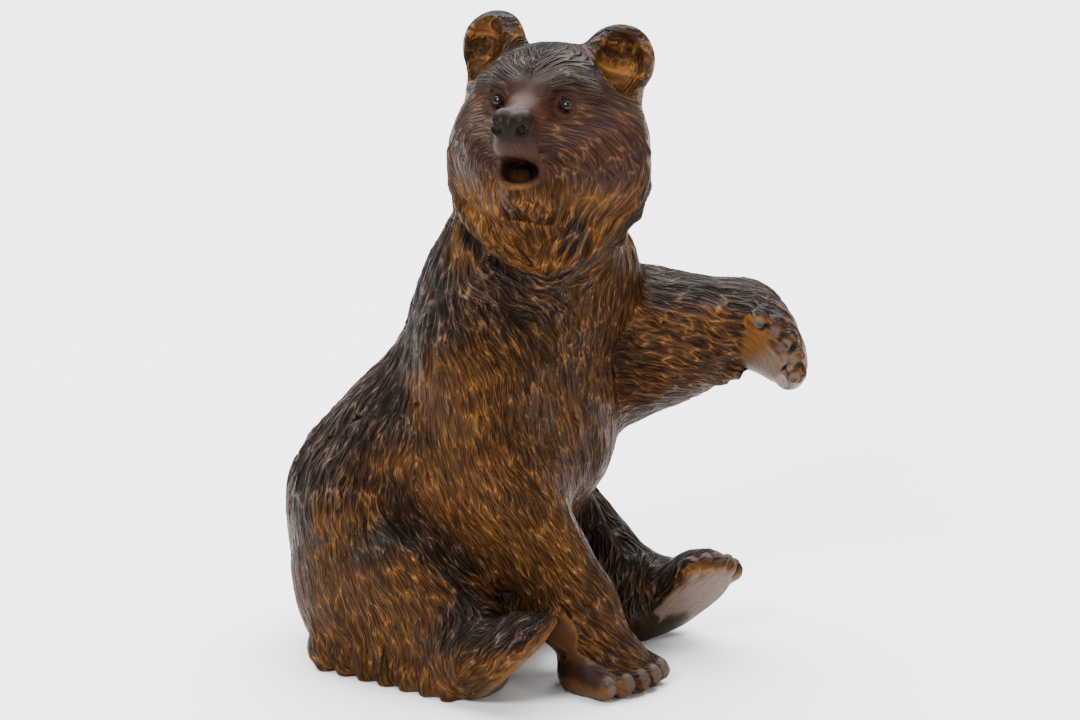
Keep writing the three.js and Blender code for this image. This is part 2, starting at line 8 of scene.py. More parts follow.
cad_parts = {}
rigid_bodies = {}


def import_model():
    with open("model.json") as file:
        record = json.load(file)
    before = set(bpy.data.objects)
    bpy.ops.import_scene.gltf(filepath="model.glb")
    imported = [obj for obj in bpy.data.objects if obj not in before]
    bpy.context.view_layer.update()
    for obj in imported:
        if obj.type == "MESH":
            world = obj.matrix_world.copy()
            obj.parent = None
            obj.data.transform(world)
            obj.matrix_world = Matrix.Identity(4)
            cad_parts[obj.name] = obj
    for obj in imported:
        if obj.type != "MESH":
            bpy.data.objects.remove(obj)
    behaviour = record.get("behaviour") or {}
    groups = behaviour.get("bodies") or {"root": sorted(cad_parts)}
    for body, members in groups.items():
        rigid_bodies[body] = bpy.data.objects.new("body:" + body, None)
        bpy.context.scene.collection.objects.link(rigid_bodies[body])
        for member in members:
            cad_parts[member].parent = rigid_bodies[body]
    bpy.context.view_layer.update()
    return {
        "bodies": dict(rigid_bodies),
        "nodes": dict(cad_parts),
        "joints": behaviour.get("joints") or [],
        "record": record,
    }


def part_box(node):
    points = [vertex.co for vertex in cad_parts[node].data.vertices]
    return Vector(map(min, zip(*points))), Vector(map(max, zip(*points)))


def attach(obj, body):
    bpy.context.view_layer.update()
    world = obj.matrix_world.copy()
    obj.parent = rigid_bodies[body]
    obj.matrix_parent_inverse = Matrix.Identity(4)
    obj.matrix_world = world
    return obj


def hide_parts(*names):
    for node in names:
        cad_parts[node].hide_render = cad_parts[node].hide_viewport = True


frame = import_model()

MM = 0.001
RIGHT = -1
LEFT = 1
SIDES = (RIGHT, LEFT)

rng = np.random.default_rng(7)


# Directions and frames

def unit(v):
    v = np.asarray(v, float)
    return v / np.linalg.norm(v)


def units(vectors):
    return vectors / (np.linalg.norm(vectors, axis=1, keepdims=True) + 1e-9)


class Frame:
    """Three directions about an origin: first, second and third."""

    def __init__(self, origin, first, towards_third):
        self.origin = np.asarray(origin, float)
        self.a = unit(first)
        self.b = unit(np.cross(towards_third, self.a))
        self.c = np.cross(self.a, self.b)

    def at(self, a, b, c):
        return self.origin + a * self.a + b * self.b + c * self.c

    def towards(self, a, b, c):
        return unit(a * self.a + b * self.b + c * self.c)

    def local(self, points):
        away = points - self.origin
        return away @ self.a, away @ self.b, away @ self.c


BODY = Frame([0, 0, 0], [1, 0, 0], [0, 0, 1])


# The figure as a field: how far each point lies outside the wood

def bone(start, end, start_radius, end_radius):
    """A tapered bone with round ends."""
    a = np.asarray(start, float)
    axis = np.asarray(end, float) - a
    length2 = axis @ axis
    taper = start_radius - end_radius
    slope2 = length2 - taper * taper

    def field(points):
        p = points - a
        along = p @ axis
        past = along - length2
        across2 = np.maximum(length2 * (length2 * np.einsum("ij,ij->i", p, p) - along * along), 0)
        along2 = along * along * length2
        past2 = past * past * length2
        k = np.sign(taper) * taper * taper * across2
        side = (np.sqrt(across2 * slope2 / length2) + along * taper) / length2 - start_radius
        low = np.sqrt(across2 + along2) / length2 - start_radius
        high = np.sqrt(across2 + past2) / length2 - end_radius
        at_high = np.sign(past) * slope2 * past2 > k
        at_low = np.sign(along) * slope2 * along2 < k
        return np.where(at_high, high, np.where(at_low, low, side))

    return field


def mass(centre, radii, frame=BODY):
    """An egg-shaped mass whose half-sizes lie along a frame's directions."""
    c = np.asarray(centre, float)
    r = np.asarray(radii, float)
    turned = np.stack([frame.a, frame.b, frame.c], 1) / r

    def field(points):
        p = (points - c) @ turned
        k0 = np.sqrt(np.einsum("ij,ij->i", p, p))
        p /= r
        k1 = np.sqrt(np.einsum("ij,ij->i", p, p)) + 1e-9
        return k0 * (k0 - 1) / k1

    return field


def beyond(through, normal):
    """Everything on the far side of a flat cut."""
    n = unit(normal)
    offset = n @ np.asarray(through, float)
    return lambda points: points @ n - offset


def soft_min(a, b, softness):
    h = np.maximum(softness - np.abs(a - b), 0) / softness
    return np.minimum(a, b) - h * h * softness / 4


def soft_max(a, b, softness):
    return -soft_min(-a, -b, softness)


def joined(entries):
    """Forms that grow into each other, each with how softly it joins the ones before."""

    def field(points):
        d = np.full(len(points), 1e6)
        for form, softness in entries:
            d = soft_min(d, form(points), softness)
        return d

    return field


def carved(form, cuts):
    """A form with others taken out of it, each with how soft its edge is."""

    def field(points):
        d = form(points)
        for cut, softness in cuts:
            d = soft_max(d, -cut(points), softness)
        return d

    return field


def faced(form, plane, softness):
    """A form that ends at a flat face."""
    return lambda points: soft_max(form(points), plane(points), softness)


def near(form, centre, radius):
    """The form, asked only near its middle: far off it counts as absent."""
    c = np.asarray(centre, float)

    def field(points):
        d = np.full(len(points), 1e3)
        close = np.einsum("ij,ij->i", points - c, points - c) < radius * radius
        if close.any():
            d[close] = form(points[close])
        return d

    return field


def strand(path, softness=1):
    """Bones end to end through points that each give x, y, z and a radius."""
    return joined([
        (bone(path[i][:3], path[i + 1][:3], path[i][3], path[i + 1][3]), softness)
        for i in range(len(path) - 1)
    ])


# Torso

torso = joined([
    (mass([0, 18, 24], [45, 40, 38]), 1),
    (mass([-1, 19, 44], [48, 42, 40]), 8),
    (mass([3, -1, 70], [40, 40, 33]), 14),
    (mass([1, -10, 99], [32, 30, 32]), 14),
    (mass([0, -15, 118], [28, 25, 24]), 12),
    (bone([0, -18, 120], [-2, -27, 146], 25, 26), 10),
    (mass([21, -27, 118], [16, 15, 20]), 8),
])


# Hind legs

# Toes, fingers and teeth stand five in a row, counted from the middle one.
FIVE_ACROSS = (-2, -1, 0, 1, 2)
TOE_ARC = 0.7  # how far the toes beside the middle one stand back


def on_toe(own, reach, i, spread, height):
    """A place on one of five toes, in a foot's own frame."""
    return own.at(reach - i * i * TOE_ARC, i * spread, height)


def hind_leg(side, heel_x, heel_y, length, rise):
    """The thigh, the foot and the foot's frame. The sole rises from its heel at an angle."""
    angle = math.radians(rise)
    lay = [side * 0.04, -math.cos(angle), math.sin(angle)]
    foot = Frame([side * heel_x, heel_y, 0], lay, [side * 0.3, 0.65, 0.71])
    thigh = joined([
        (mass([side * 27, 14, 26], [25, 33, 35]), 1),
        (mass([side * 30, -6, 10], [18, 26, 20]), 6),
        (bone([side * 32, -2, 34], [side * 37, heel_y + 8, 17], 18, 11), 10),
        (bone([side * 36, heel_y + 8, 10], foot.at(9, 0, 10), 13, 11), 8),
    ])
    toes = [
        (bone(foot.at(length - 13, i * 4, 5.5), on_toe(foot, length - 3, i, 4.7, 4), 4, 3.5), 0.9)
        for i in FIVE_ACROSS
    ]
    sole = joined([
        (mass(foot.at(9, 0, 9), [11, 11, 10], foot), 1),
        (mass(foot.at(length - 16, 0, 5), [15, 12, 9.5], foot), 6),
        *toes,
    ])
    flat = beyond(foot.at(0, 0, 0), -foot.c)
    return thigh, near(faced(sole, flat, 0.8), foot.at(15, 0, 5), 48), foot


right_thigh, right_sole, right_foot = hind_leg(RIGHT, 38, -30, 37.5, 41.8)
left_thigh, left_sole, left_foot = hind_leg(LEFT, 40, -39, 37, 45.8)


# Forelegs

paw = Frame([-7.5, -54, 0], [-0.1, -0.995, 0], [0, 0, 1])

right_foreleg = joined([
    (mass([-21, -18, 97], [16, 20, 27]), 1),
    (mass([-17, -10, 58], [22, 27, 36]), 10),
    (bone([-22, -17, 96], [-22, -26, 62], 17, 15), 8),
    (bone([-22, -26, 62], [-12, -46, 24], 15, 12), 8),
    (bone([-12, -46, 24], paw.at(0, 0, 10), 12, 10), 6),
    (mass(paw.at(0, 0, 5), [14, 15.5, 9.5], paw), 5),
    *[
        (bone(paw.at(3, i * 5.4, 5), on_toe(paw, 13, i, 6, 4.5), 5, 3.9), 0.9)
        for i in FIVE_ACROSS
    ],
])

# The hand's directions: out along the fingers, up across the palm, and out of the palm.
hand = Frame([50, -68, 94.7], [-0.578, -0.72, 0.382], [-0.801, 0.412, -0.436])


def finger(i):
    """The root and the tip of one finger of the raised hand."""
    across = -2 + i * 5
    arch = i * i * 0.9
    return hand.at(0, across, arch - 9), hand.at(9, across, arch - 8)


left_foreleg = joined([
    (mass([27, -14, 105], [18, 20, 22]), 1),
    (bone([30, -16, 103], [43, -36, 97], 20, 18), 8),
    (bone([33, -23, 82.5], [47, -43, 90.5], 16.5, 13), 8),
    (bone([43, -36, 98], [57, -57, 101], 18, 14), 8),
    (mass(hand.at(-3, 1, -7.5), [14, 16.5, 9], hand), 6),
    *[(bone(*finger(i), 4.8, 3.8), 0.9) for i in FIVE_ACROSS],
])


# Head

head = Frame([-2.7, -30, 165], [-0.935, -0.286, 0.208], [0.199, 0.061, 0.978])


def wedge():
    """The muzzle: a flat bridge on top, flat flanks and two full upper lips."""
    form = joined([
        (bone(head.at(10, 0, 2.5), head.at(29, 0, 1.8), 13, 8.9), 1),
        *[(mass(head.at(28.5, side * 3.4, -1.6), [6.4, 5.4, 4.6], head), 2.5) for side in SIDES],
    ])
    for side in SIDES:
        form = faced(form, beyond(head.at(28, side * 8.2, 0), head.towards(0.32, side, 0.3)), 4)
    return faced(form, beyond(head.at(31, 0, 11.6), head.towards(0.42, 0, 1)), 4)


def both_sides(*makers):
    """What each maker gives for the right side, and then the same for the left."""
    return [make(side) for side in SIDES for make in makers]


# The ridge above each eye, from the bridge of the muzzle outwards: places on it and its radii.
BROW = ((21, 4.5, 14), (18, 10, 16.8), (14, 16, 14.5), (11, 20, 7.5))
BROW_RADII = (3, 3.4, 3.3, 2.6)


def brow_bone(side, i):
    start, end = (head.at(a, side * b, c) for a, b, c in BROW[i:i + 2])
    return bone(start, end, BROW_RADII[i], BROW_RADII[i + 1])


skull = joined([
    (mass(head.at(-3, 0, 5), [25, 26, 24], head), 1),
    (mass(head.at(8, 0, 12), [14, 18, 13], head), 8),
    *both_sides(
        lambda side: (mass(head.at(2, side * 16.5, -6), [16, 14, 17], head), 10),
        lambda side: (bone(head.at(-2, side * 18, -12), head.at(6, side * 7, -31), 11, 10), 6),
        lambda side: (mass(head.at(12, side * 11, -5), [14, 10, 13], head), 8),
        lambda side: (bone(head.at(8, side * 11, -14), head.at(20, side * 5.5, -18), 9, 6), 5),
    ),
    (wedge(), 7),
    *[(brow_bone(side, i), 3) for side in SIDES for i in range(3)],
    *both_sides(lambda side: (mass(head.at(34.8, side * 3, 3.4), [4.3, 3.7, 4.7], head), 1.5)),
    (bone(head.at(12, 0, -12), head.at(25.8, 0, -15.4), 11, 6), 4),
])


def ear(side, across, up):
    """An ear's shell, the hollow cut into it and its frame."""
    own = Frame(head.at(-4, side * across, up), head.towards(0.93, side * 0.3, 0.15), head.c)
    shell = joined([
        (mass(own.at(-1, 0, 0), [6, 11, 10.5], own), 1),
        (bone(own.at(-2, 0, -4), own.at(-1, -side * 2, -14), 8, 7.9), 4),
    ])
    return shell, mass(own.at(6.4, side * 0.3, -2.6), [7.2, 7.4, 10.4], own), own


ears = [ear(RIGHT, 22.3, 27.5), ear(LEFT, 18.2, 25.5)]

mouth = mass(head.at(33, 0, -9.8), [12, 7, 3.6], head)


def tooth(i):
    """One of the low teeth in front of the tongue."""
    root = head.at(28.6 - i * i * 0.28, i * 1.9, -12.6)
    tip = head.at(28.8 - i * i * 0.3, i * 1.9, -10.6)
    return bone(root, tip, 1, 0.7)


tongue = joined([
    (bone(head.at(18, 0, -12.5), head.at(27.2, 0, -11.6), 4, 3), 1),
    *[(tooth(i), 0.4) for i in FIVE_ACROSS],
])


def nostril(side):
    """A nostril and the slit beside it, each with how soft its edge is."""
    hole = bone(head.at(39.4, side * 3.1, 0.9), head.at(36.5, side * 3.9, 2.6), 1.35, 1.2)
    slit = bone(head.at(38.6, side * 4.2, 1.6), head.at(37.6, side * 6.4, 3.6), 0.9, 0.5)
    return [(hole, 0.4), (slit, 0.4)]


head_cuts = [
    *[(cup, 1) for _, cup, _ in ears],
    *both_sides(
        lambda side: (mass(head.at(25.2, side * 10.8, 9.6), [6, 4.6, 4.4], head), 2),
    ),
    (mouth, 0.8),
    *nostril(RIGHT),
    *nostril(LEFT),
    (strand([[*head.at(39.5, 0, -0.5), 0.7], [*head.at(36.8, 0, -6), 0.9]]), 0.8),
]

eared_skull = joined([(skull, 1), *[(shell, 4) for shell, _, _ in ears]])
whole_head = near(
    joined([(carved(eared_skull, head_cuts), 1), (tongue, 0.5)]), head.at(2, 0, 2), 68,
)


# Locks that stand out as tufts

def tufts():
    """Tufts of the ruff, of the underside of the raised foreleg and of the hem of each thigh."""
    locks = []
    for turn in np.linspace(-1.75, 1.75, 13):
        across, up = math.sin(turn), -math.cos(turn)
        root = head.at(4 + 3 * up, across * 25, 25 * up - 7)
        tip = head.at(1 + 3 * up, across * 31, 33 * up - 8)
        locks.append((bone(root, tip, 5, 1.4), 2))
    for share in np.linspace(0, 1, 8):
        root = np.array([30, -24, 75]) + share * np.array([20, -34, 13])
        locks.append((bone(root, root + [2.6, -4.4, -2.4], 4, 1.2), 1.5))
    for side in SIDES:
        for i in range(7):
            back = 26 - i * 8
            locks.append((bone([side * 44, back, 12], [side * 48, back - 3, 1.5], 5, 2.4), 2))
    return locks


def thigh_crease(side, blade):
    """The crease above a thigh, from the hip down to the ankle."""
    return strand([
        [side * 45, 12, 67, 0.3 * blade],
        [side * 43.5, -2, 56, 0.9 * blade],
        [side * 40, -14, 46, blade],
        [side * 36.5, -25, 35, 0.9 * blade],
        [side * 34, -33, 28.5, 0.4 * blade],
    ])


creases = joined([(thigh_crease(RIGHT, 3.6), 1), (thigh_crease(LEFT, 2), 1)])

# The parting of the fur, from under the ruff down the chest and belly.
PARTING = ([-12, -43.5, 124, 1.5], [-6, -43, 103, 1.4], [1, -43, 82, 1.5], [7, -41, 62, 1.4])

groups = {
    "torso": torso,
    "right_thigh": right_thigh,
    "left_thigh": left_thigh,
    "right_foreleg": right_foreleg,
    "left_foreleg": left_foreleg,
    "right_foot": right_sole,
    "left_foot": left_sole,
    "head": whole_head,
}
SOFT_JOINS = {
    "torso": 1,
    "right_thigh": 3,
    "left_thigh": 3,
    "right_foreleg": 8,
    "left_foreleg": 5,
    "right_foot": 3,
    "left_foot": 3,
    "head": 4,
}

figure = faced(
    carved(
        joined([*[(form, SOFT_JOINS[name]) for name, form in groups.items()], *tufts()]),
        [(creases, 5), (strand(PARTING), 3)],
    ),
    beyond([0, 0, 0], [0, 0, -1]),
    0.6,
)


def slope_of(field, points, values):
    """The gradient of a field at points where its values are known."""
    step = 0.25
    return np.stack([(field(points + step * axis) - values) / step for axis in np.eye(3)], 1)


LONGEST_STEP = 1.5


def drawn_to(field, points, rounds):
    """The points moved onto the field's surface, and the direction out of the wood there."""
    for _ in range(rounds):
        values = field(points)
        slope = slope_of(field, points, values)
        steepness = np.einsum("ij,ij->i", slope, slope) + 1e-3
        step = np.clip(values / steepness, -LONGEST_STEP, LONGEST_STEP)
        points = points - slope * step[:, None]
    return points, units(slope)


# Meshes

def only(obj):
    """Leaves the object selected and active, and nothing else."""
    bpy.ops.object.select_all(action="DESELECT")
    obj.select_set(True)
    bpy.context.view_layer.objects.active = obj


def applied(obj, kind, **settings):
    """Adds a modifier to the object and applies it."""
    only(obj)
    modifier = obj.modifiers.new(kind.title(), kind)
    for name, value in settings.items():
        setattr(modifier, name, value)
    bpy.ops.object.modifier_apply(modifier=modifier.name)


def corners_of(mesh):
    flat = np.empty(len(mesh.vertices) * 3, np.float32)
    mesh.vertices.foreach_get("co", flat)
    return flat.reshape(-1, 3).astype(float)


def set_corners(mesh, corners):
    mesh.vertices.foreach_set("co", corners.astype(np.float32).ravel())
    mesh.update()


def edges_of(mesh):
    flat = np.empty(len(mesh.edges) * 2, np.int32)
    mesh.edges.foreach_get("vertices", flat)
    return flat.reshape(-1, 2)


def smoothed(values, edges, rounds):
    """Values at the corners, averaged with their neighbours' so many times."""
    count = len(values)
    degree = np.bincount(edges.ravel(), minlength=count).astype(float)
    for _ in range(rounds):
        total = np.bincount(edges[:, 0], values[edges[:, 1]], count)
        total += np.bincount(edges[:, 1], values[edges[:, 0]], count)
        values = 0.5 * values + 0.5 * total / np.maximum(degree, 1)
    return values


def smooth_step(low, high, values):
    t = np.clip((values - low) / (high - low), 0, 1)
    return t * t * (3 - 2 * t)


# Eyes: where the solid has them, in millimetres

def middle_of(node):
    low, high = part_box(node)
    return np.array((low + high) / 2) / MM


EYE_RADIUS = (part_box("left_eye")[1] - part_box("left_eye")[0]).z / 2 / MM
EYE_GAP = 0.15
eye_middles = {name: middle_of(name) for name in ("right_eye", "left_eye")}


def lids(middle, side):
    """Two soft lids that meet at the corners of an eye."""
    def around(a, b, c):
        return middle + a * head.a + b * side * head.b + c * head.c

    inner, outer = [*around(0.2, -3.5, -1.2), 0.6], [*around(-1, 3.9, -0.8), 0.6]
    upper = [[*around(1.5, -1.3, 2.1), 0.8], [*around(1.1, 1.4, 2.2), 0.8]]
    lower = [[*around(1.1, -1.1, -2.6), 0.7], [*around(0.7, 1.5, -2.4), 0.7]]
    return [(strand([inner, *lid, outer]), 1) for lid in (upper, lower)]


def claw(start, along, length, radius):
    """A claw that thins towards its point."""
    start = np.asarray(start, float)
    return bone(start, start + unit(along) * length, radius, radius * 0.35)


# The raised border of the ruff, from each cheek to the V under the chin, and two pockets in it
# that get only a painted shadow. Each place is given along the head's own directions.
LEFT_RUFF = (
    (2.3, 29.8, -7.5),
    (2.3, 29.3, -13.3),
    (2.3, 27.4, -19.6),
    (2.6, 22.3, -26.8),
    (7.4, 16.3, -32.6),
    (11.6, 11.1, -36.3),
    (11.4, 5.5, -38.9),
)
RIGHT_RUFF = (
    (11.3, -26.7, -6.2),
    (8.7, -25.7, -15.6),
    (11.3, -20.7, -24.0),
    (15.0, -12.7, -30.5),
    (15.2, -6.1, -35.1),
    (13.4, -0.8, -37.5),
)
SHADOW_POCKETS = ((13.4, 14.0, -27.7), (24.4, -2.5, -21.8))


def along_head(places, radius):
    """A strand through places on the head, thinner at both ends."""
    thin = [0.55, *[1] * (len(places) - 2), 0.55]
    return strand([[*head.at(*place), radius * share] for place, share in zip(places, thin)])


def outside(places, distance):
    """The same places moved away from the middle of the face."""
    return [np.array(place) + distance * unit([-0.25, place[1], place[2] + 6]) for place in places]


borders = [along_head(places, 3.3) for places in (LEFT_RUFF, RIGHT_RUFF)]
undercuts = [along_head(outside(places, 4.9), 2.1) for places in (LEFT_RUFF, RIGHT_RUFF)]
shadow_pockets = [mass(head.at(*place), [3.2, 2.6, 5], head) for place in SHADOW_POCKETS]


def lip_line(side):
    """The line of the lips, from the mouth back towards one of its corners."""
    places = ((34, 4, -9.2), (30.5, 8.4, -10.2), (26, 11, -12), (23.5, 12, -14))
    return along_head([(a, side * b, c) for a, b, c in places], 1.1)


lip_lines = [lip_line(side) for side in SIDES]

# Which way the claws point.
HAND_CLAW = 0.8 * hand.c - 0.4 * hand.b + 0.25 * hand.a
PAW_CLAW = paw.towards(1, 0, -0.75)
FOOT_CLAW = left_foot.towards(1, 0, 0.15)

claws = [
    *[claw(finger(i)[1] + 1.5 * hand.a, HAND_CLAW, 8, 1.5) for i in FIVE_ACROSS],
    *[claw(on_toe(paw, 14.5, i, 6, 6.2), PAW_CLAW, 6.5, 1.6) for i in FIVE_ACROSS],
    *[claw(on_toe(left_foot, 36, i, 4.7, 5.6), FOOT_CLAW, 4.2, 1.3) for i in FIVE_ACROSS],
]
all_claws = joined([(form, 0.3) for form in claws])


def dressed_figure():
    """The figure with its hem, ruff, claws and eyelids, and a socket for each glass eye."""
    hems = [(bone([side * 44.5, 27, 5], [side * 44.5, -23, 5], 4.9, 4.9), 3) for side in SIDES]
    forms = [(figure, 1), *hems, *[(border, 2.5) for border in borders], (all_claws, 0.6)]
    cuts = [(cut, 1.5) for cut in (*undercuts, *lip_lines)]
    for side, middle in zip(SIDES, eye_middles.values()):
        forms += [(near(form, middle, 12), softness) for form, softness in lids(middle, side)]
        cuts.append((mass(middle, [EYE_RADIUS + EYE_GAP] * 3), 0.2))
    return carved(joined(forms), cuts)


# The lie of the fur

WRIST_LAY = unit([26, -40, -2])
LEG_LAY = unit([10, -20, -38])


def region_of(points):
    """The number of the group whose surface each point is nearest to."""
    return np.argmin(np.stack([form(points) for form in groups.values()], 1), 1)


REGION = {name: i for i, name in enumerate(groups)}


def blend_in(lay, direction, weight):
    return lay * (1 - weight[:, None]) + np.asarray(direction, float) * weight[:, None]


def lay_of(points, out, region):
    """The direction in which the fur lies at each point, along the surface."""
    x, y, z = points.T
    lay = np.tile([0.0, -0.12, -1.0], (len(points), 1))
    lay = blend_in(lay, [0, -0.42, -1], smooth_step(70, 40, z) * smooth_step(-38, -15, y))
    shoulder = (
        smooth_step(90, 108, z) * smooth_step(148, 132, z) * smooth_step(2, -14, y)
        * smooth_step(-2, -12, x)
    )
    lay = blend_in(lay, [0.35, -0.5, -1], shoulder)
    parting_x = np.interp(z, [62, 82, 103, 124], [7, 1, -6, -12])
    to_parting = np.stack([-0.75 * np.sign(x - parting_x), 0 * x, -np.ones_like(x)], 1)
    chest = np.exp(-np.abs(x - parting_x) / 15) * smooth_step(-22, -36, y) * smooth_step(50, 75, z)
    lay = blend_in(lay, to_parting, chest)
    for side, thigh in zip(SIDES, ("right_thigh", "left_thigh")):
        beside = np.exp(-np.maximum(creases(points), 0) / 9) * (region == REGION[thigh])
        lay = blend_in(lay, unit([-side * 11, -45, -38.5]), beside)
    for foot_name, foot in (("right_foot", right_foot), ("left_foot", left_foot)):
        lay[region == REGION[foot_name]] = foot.a
    leg = region == REGION["right_foreleg"]
    lay = blend_in(lay, LEG_LAY, leg * smooth_step(85, 60, z))
    lay = blend_in(lay, unit(paw.a - [0, 0, 0.4]), leg * smooth_step(22, 12, z))
    arm = region == REGION["left_foreleg"]
    side_band = smooth_step(-0.2, 0.2, out[:, 2]) * smooth_step(0.8, 0.4, out[:, 2])
    arm_lay = WRIST_LAY + side_band[:, None] * np.array([0, 0, -0.9])
    to_hand = smooth_step(-46, -60, y)[:, None]
    lay[arm] = (arm_lay * (1 - to_hand) + unit([0.3, -0.6, -0.6]) * to_hand)[arm]
    on_head = region == REGION["head"]
    a, b, c = head.local(points)
    from_nose = units(points - head.at(33, 0, 5))
    to_point = units(head.at(10, 0, -62) - points)
    ruff = smooth_step(-4, -20, c)
    cheek = smooth_step(17, -9, c) * smooth_step(3, 13, np.abs(b))
    down_cheek = units(from_nose * 0.35 + units(to_point) * 0.75)
    head_lay = from_nose * (1 - cheek[:, None]) + down_cheek * cheek[:, None]
    head_lay = head_lay * (1 - ruff[:, None]) + to_point * ruff[:, None]
    head_lay = blend_in(head_lay, -head.c, smooth_step(2, -14, a))
    for _, _, own in ears:
        close = smooth_step(17, 12, np.linalg.norm(points - own.at(0, 0, -1), axis=1))
        head_lay = blend_in(head_lay, own.c, close)
    lay[on_head] = head_lay[on_head]
    lay -= out * np.einsum("ij,ij->i", lay, out)[:, None]
    return units(lay)


def on_palm(points, out, region):
    """The smooth palm of the raised hand."""
    a, b, c = hand.local(points)
    flat = smooth_step(0.55, 0.8, out @ hand.c) * smooth_step(-6, -3, c) * smooth_step(8, 5, c)
    close = smooth_step(17, 13, np.hypot(a, b - 1))
    return flat * close * (region == REGION["left_foreleg"])


def bare_places(points, out, region):
    """How bare of fur the wood is: 1 on nose, lips, eye hollows, soles, palm and claws, and
    part of the way to 1 on the face."""
    a, b, c = head.local(points)
    on_head = region == REGION["head"]
    bridge = smooth_step(17, 24, a) * smooth_step(8.5, 6.5, np.abs(b)) * smooth_step(-14, -10, c)
    lips = smooth_step(3.2, 1.4, mouth(points))
    calm = 0.4 * smooth_step(0, 12, a) * smooth_step(-22, -12, c) * smooth_step(22, 14, c)
    bare = np.maximum.reduce([bridge, lips, calm]) * on_head
    for middle in eye_middles.values():
        bare = np.maximum(bare, smooth_step(6.5, 4, np.linalg.norm(points - middle, axis=1)))
    for foot in (right_foot, left_foot):
        fa, fb, fc = foot.local(points)
        nearby = (np.abs(fb) < 16) & (fa > -6) & (fa < 44)
        bare = np.maximum(bare, smooth_step(2.4, 0.8, fc) * nearby)
    bare = np.maximum(bare, on_palm(points, out, region))
    bare = np.maximum(bare, smooth_step(1.2, 0.3, all_claws(points)))
    return np.maximum(bare, smooth_step(0.9, 0.2, points[:, 2]))


# Coordinates that follow the fur, in millimetres: across the hairs and along them

VIEW_TURN = math.radians(-53)
TO_VIEWER = np.array([math.sin(VIEW_TURN), -math.cos(VIEW_TURN), 0])
SPINE_HEIGHTS = [0, 55, 90, 120, 182]
SPINE_PLACES = [14, 14, -8, -17, -28]
CLUMP_SIZE = 4.0
CLUMPS_BELOW_ZERO = 100  # at least as many as lie on the minus side of any axis
CLUMPS_ACROSS = 300  # more than there are in any direction
CHARTS_AT_MOST = 64
CHART_SPACING = 37.0  # so that the charts don't show the same strokes
ROUGH_ROUNDS = 400
FINE_ROUNDS = 60


def chart_of(points, region):
    """The number of each point's chart. Each group has two: the head its right and left halves,
    and the others the half that faces the camera and the half that doesn't."""
    middle = np.zeros_like(points)
    for number in REGION.values():
        inside = region == number
        middle[inside] = points[inside].mean(0)
    on_torso = region == REGION["torso"]
    middle[on_torso, 0] = 0
    middle[on_torso, 1] = np.interp(points[on_torso, 2], SPINE_HEIGHTS, SPINE_PLACES)
    half = (points - middle) @ TO_VIEWER > 0
    on_head = region == REGION["head"]
    half[on_head] = head.local(points[on_head])[1] > 0
    return region * 2 + half


def over_fur(steps, across, lay):
    """How far steps go across the hairs and along them."""
    return np.stack([
        np.einsum("ij,ij->i", steps, across), np.einsum("ij,ij->i", steps, lay),
    ], 1)


def combed(points, out, lay, chart, edges, start, rounds):
    """Spreads the coordinates over each chart so that they grow across and along the hairs."""
    i, j = edges[chart[edges[:, 0]] == chart[edges[:, 1]]].T
    step = points[j] - points[i]
    across = np.cross(out, lay)
    wanted = over_fur(step, across[i] + across[j], lay[i] + lay[j]) / 2
    count = len(points)

    def gathered(values):
        return np.stack([
            np.bincount(j, values[:, k], count) - np.bincount(i, values[:, k], count)
            for k in (0, 1)
        ], 1)

    ways = (np.bincount(i, minlength=count) + np.bincount(j, minlength=count)).clip(1)[:, None]
    uv = start.copy()
    left = gathered(wanted - uv[j] + uv[i])
    ahead = left / ways
    search = ahead.copy()
    gain = (left * ahead).sum(0)
    for _ in range(rounds):
        pull = gathered(search[j] - search[i])
        pace = gain / (search * pull).sum(0)
        uv += pace * search
        left -= pace * pull
        ahead = left / ways
        new_gain = (left * ahead).sum(0)
        search = ahead + new_gain / gain * search
        gain = new_gain
    return uv


def combed_twice(points, out, lay, chart, edges):
    """Combs small clumps of corners first, and then every corner."""
    cell = np.floor(points / CLUMP_SIZE).astype(np.int64) + CLUMPS_BELOW_ZERO
    key = (cell[:, 0] * CLUMPS_ACROSS + cell[:, 1]) * CLUMPS_ACROSS + cell[:, 2]
    key = key * CHARTS_AT_MOST + chart
    _, clump = np.unique(key, return_inverse=True)
    count = clump.max() + 1
    size = np.bincount(clump, minlength=count)[:, None]

    def mean_of(values):
        return np.stack([np.bincount(clump, values[:, k], count) for k in range(3)], 1) / size

    middle, clump_out, clump_lay = mean_of(points), units(mean_of(out)), units(mean_of(lay))
    clump_chart = np.zeros(count, np.int64)
    clump_chart[clump] = chart
    pairs = np.sort(clump[edges], 1)
    pairs = np.unique(pairs[pairs[:, 0] != pairs[:, 1]], axis=0)
    start = np.zeros((count, 2))
    rough = combed(middle, clump_out, clump_lay, clump_chart, pairs, start, ROUGH_ROUNDS)
    start = rough[clump] + over_fur(points - middle[clump], np.cross(out, lay), lay)
    uv = combed(points, out, lay, chart, edges, start, FINE_ROUNDS)
    return uv + CHART_SPACING * chart[:, None]


# Gouge cuts

DIG = 0.5  # how much deeper a cut is at its lower end


def chance(column, step, seed):
    """A fixed number from 0 to 1 for every cell of a pattern."""
    wave = np.sin(column * 127.1 + step * 311.7 + seed * 74.7) * 43758.5453
    return wave - np.floor(wave)


